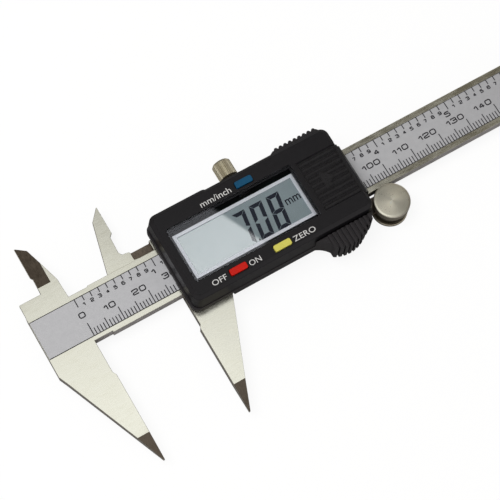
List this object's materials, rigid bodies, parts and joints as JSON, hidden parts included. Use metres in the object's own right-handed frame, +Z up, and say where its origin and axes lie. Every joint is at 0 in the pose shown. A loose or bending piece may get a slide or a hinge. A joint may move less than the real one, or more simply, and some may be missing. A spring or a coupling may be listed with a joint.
{
  "type": "digital caliper",
  "caption": "Electronic sliding caliper with outside and inside jaws, depth rod, display housing, push buttons, battery cover, lock screw and thumb roller.",
  "frame": {"origin": "centre of the bounding box in plan, on its lowest plane, with the slider open as at rest", "axes": "+X along the beam from the fixed head towards the free end, +Y across the beam towards the inside jaws, +Z up out of the display"},
  "size_m": [0.2634, 0.0758, 0.016],
  "materials": {
    "ground_steel": "satin ground",
    "nickel_steel": "turned and nickel plated",
    "screw_steel": "plain",
    "spring_steel": "satin",
    "gib_brass": "satin",
    "label_grey": "satin",
    "board_green": "matt",
    "black_plastic": "satin moulded",
    "clear_lens": "polished",
    "frame_silver": "satin",
    "display_grey": "smooth",
    "contact_rubber": "matt",
    "switch_black": "matt",
    "button_blue": "satin",
    "button_red": "satin",
    "button_yellow": "satin",
    "cell_steel": "bright",
    "contact_nickel": "bright"
  },
  "bodies": {
    "beam_body": {"beam": "ground_steel", "scale_circuit": "board_green", "scale_label": "label_grey", "end_stop": "ground_steel", "end_stop_screws": "screw_steel"},
    "slider_body": {"back_plate": "ground_steel", "back_plate_screws": "screw_steel", "battery_cell": "cell_steel", "battery_contacts": "contact_nickel", "battery_tray": "black_plastic", "bracket_screws": "screw_steel", "button_switches": "switch_black", "circuit_board": "board_green", "depth_rod": "ground_steel", "depth_rod_pin": "screw_steel", "display_lens": "clear_lens", "gib_screws": "screw_steel", "gib_strip": "gib_brass", "housing_base": "black_plastic", "housing_cover": "black_plastic", "housing_screws": "screw_steel", "lcd_frame": "frame_silver", "lcd_panel": "display_grey", "roller_bracket": "spring_steel", "slider_frame": "ground_steel", "zebra_strips": "contact_rubber"},
    "roller_body": {"thumb_roller": "nickel_steel", "roller_back_disc": "nickel_steel"},
    "battery_cover_body": {"battery_cover": "black_plastic"},
    "unit_button_body": {"unit_button": "button_blue"},
    "power_button_body": {"power_button": "button_red"},
    "zero_button_body": {"zero_button": "button_yellow"},
    "lock_screw_body": {"lock_screw": "nickel_steel"}
  },
  "joints": [
    {"name": "slider_slide", "type": "slide", "parent": "beam_body", "child": "slider_body", "axis": [1, 0, 0], "range_m": [-0.02725, 0.1227]},
    {"name": "thumb_roller_turn", "type": "hinge", "parent": "slider_body", "child": "roller_body", "pos_m": [-0.02115, -0.00432, 0.0064], "axis": [0, 0, 1], "range_deg": [-279.8, 1256.4]},
    {"name": "lock_screw_turn", "type": "hinge", "parent": "slider_body", "child": "lock_screw_body", "pos_m": [-0.05885, 0.02927, 0.00465], "axis": [0, 1, 0], "range_deg": [-360, 90]},
    {"name": "battery_cover_slide", "type": "slide", "parent": "slider_body", "child": "battery_cover_body", "axis": [1, 0, 0], "range_m": [0, 0.014]},
    {"name": "unit_button_press", "type": "slide", "parent": "slider_body", "child": "unit_button_body", "axis": [0, 0, -1], "range_m": [0, 0.0005], "stiffness_N_per_m": 400, "springref_m": -0.0005},
    {"name": "power_button_press", "type": "slide", "parent": "slider_body", "child": "power_button_body", "axis": [0, 0, -1], "range_m": [0, 0.0005], "stiffness_N_per_m": 400, "springref_m": -0.0005},
    {"name": "zero_button_press", "type": "slide", "parent": "slider_body", "child": "zero_button_body", "axis": [0, 0, -1], "range_m": [0, 0.0005], "stiffness_N_per_m": 400, "springref_m": -0.0005}
  ],
  "couplings": [
    {"joint": "thumb_roller_turn", "follows": "slider_slide", "rad_per_m": 178.57}
  ]
}
